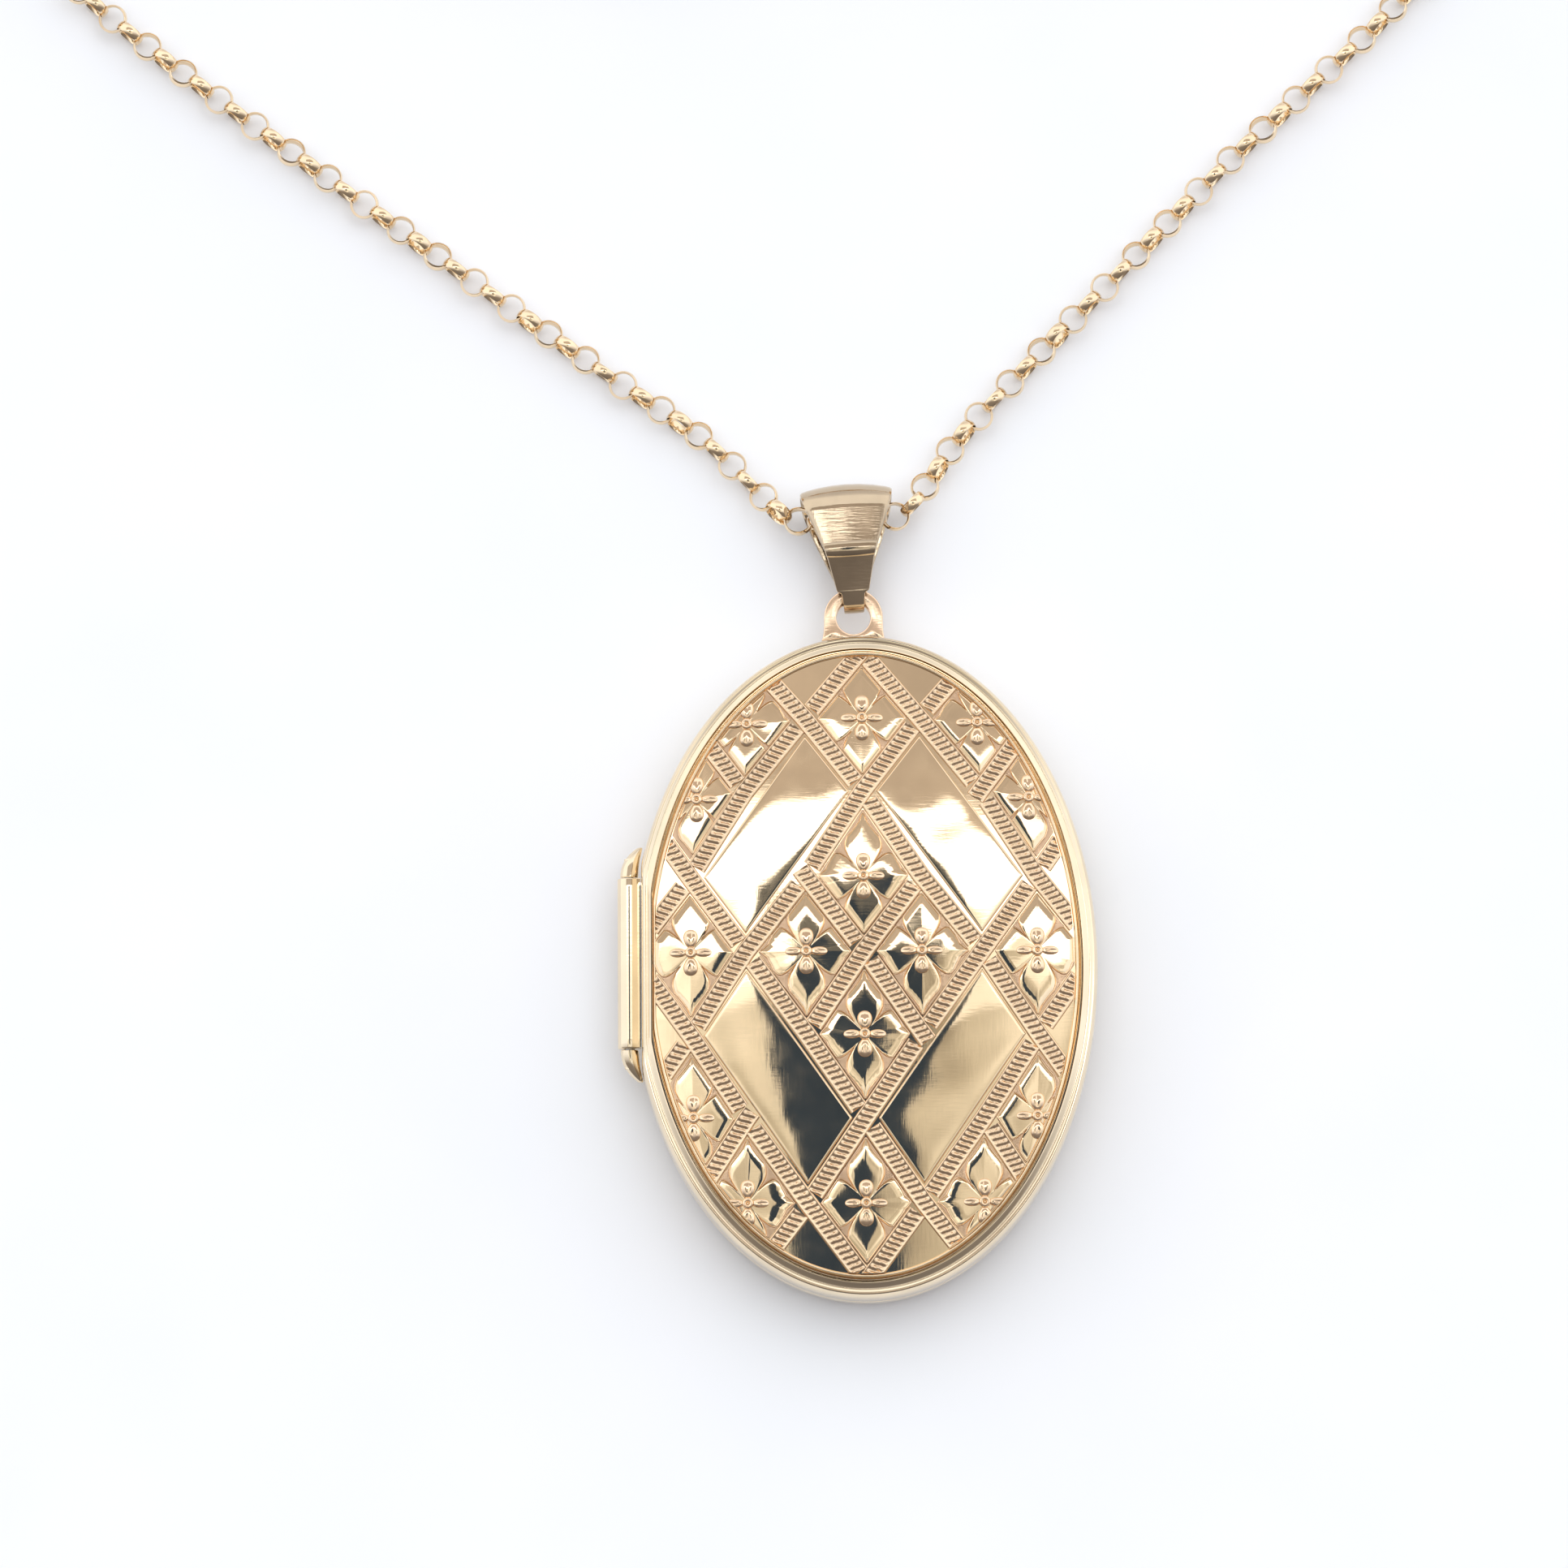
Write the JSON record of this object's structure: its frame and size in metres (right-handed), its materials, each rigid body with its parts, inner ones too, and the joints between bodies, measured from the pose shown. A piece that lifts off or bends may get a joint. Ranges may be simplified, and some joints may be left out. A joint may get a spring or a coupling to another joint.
{
  "type": "hinged picture locket",
  "caption": "Oval gold locket with an engraved lattice face and side hinge, opening to hold two pictures, hung by a tapered bail on a fine belcher chain with a bolt ring clasp.",
  "frame": {"origin": "the middle of the case's flat back face, at the centre of the oval outline", "axes": "+X towards the side that the cover opens from, +Y from the case to the bail, +Z out of the engraved face; the locket lies on its back on z = 0"},
  "size_m": [0.0823, 0.1058, 0.0056],
  "materials": {
    "rose_gold": "rolled 9 ct gold with a rosy tone, polished and engraved, light handling scratches",
    "yellow_gold": "polished 9 ct yellow gold",
    "pale_gold": "satin polished pale gold band",
    "chain_gold": "polished gold links",
    "spring_steel": "plain drawn steel",
    "card": "blank matt paper card",
    "clear_plastic": "thin clear plastic sheet"
  },
  "bodies": {
    "chain": {"chain_left_run": "chain_gold", "chain_right_run": "chain_gold", "chain_coil": "chain_gold", "chain_left_tail": "chain_gold", "chain_right_tail": "chain_gold", "chain_jump_ring": "yellow_gold", "chain_end_ring": "yellow_gold", "bolt_ring_body": "yellow_gold", "bolt_ring_eye": "yellow_gold", "bolt_ring_spring": "spring_steel"},
    "clasp_bolt": {"bolt_ring_trigger": "yellow_gold"},
    "bail": {"bail": "yellow_gold"},
    "case_back": {"back_face_plate": "yellow_gold", "back_rim_band": "pale_gold", "back_snap_rim": "yellow_gold", "back_photo_card": "card", "back_photo_window": "clear_plastic", "back_photo_frame": "yellow_gold", "hinge_upper_knuckle": "rose_gold", "hinge_lower_knuckle": "rose_gold", "hinge_pin": "spring_steel", "suspension_loop": "rose_gold"},
    "cover": {"front_face_plate": "rose_gold", "front_rim_band": "pale_gold", "front_inner_rim": "yellow_gold", "front_photo_card": "card", "front_photo_window": "clear_plastic", "front_photo_frame": "yellow_gold", "hinge_centre_knuckle": "rose_gold"}
  },
  "joints": [
    {"name": "bail_on_chain", "type": "hinge", "parent": "chain", "child": "bail", "pos_m": [-0.0007, 0.0259, 0.0018], "axis": [-1, 0, 0], "range_deg": [0, 90]},
    {"name": "case_on_bail", "type": "hinge", "parent": "bail", "child": "case_back", "pos_m": [-0.00039, 0.0213, 0.0022], "axis": [-1, 0, 0], "range_deg": [0, 60]},
    {"name": "cover_hinge", "type": "hinge", "parent": "case_back", "child": "cover", "pos_m": [-0.01305, 0.00035, 0.0028], "axis": [0, -1, 0], "range_deg": [0, 180]},
    {"name": "clasp_trigger", "type": "hinge", "parent": "chain", "child": "clasp_bolt", "pos_m": [0.0205, 0.077, 0.0011], "axis": [0, 0, 1], "range_deg": [0, 50], "stiffness_Nm_per_rad": 0.001, "springref_deg": -20.05, "deforming": ["bolt_ring_spring"]}
  ]
}
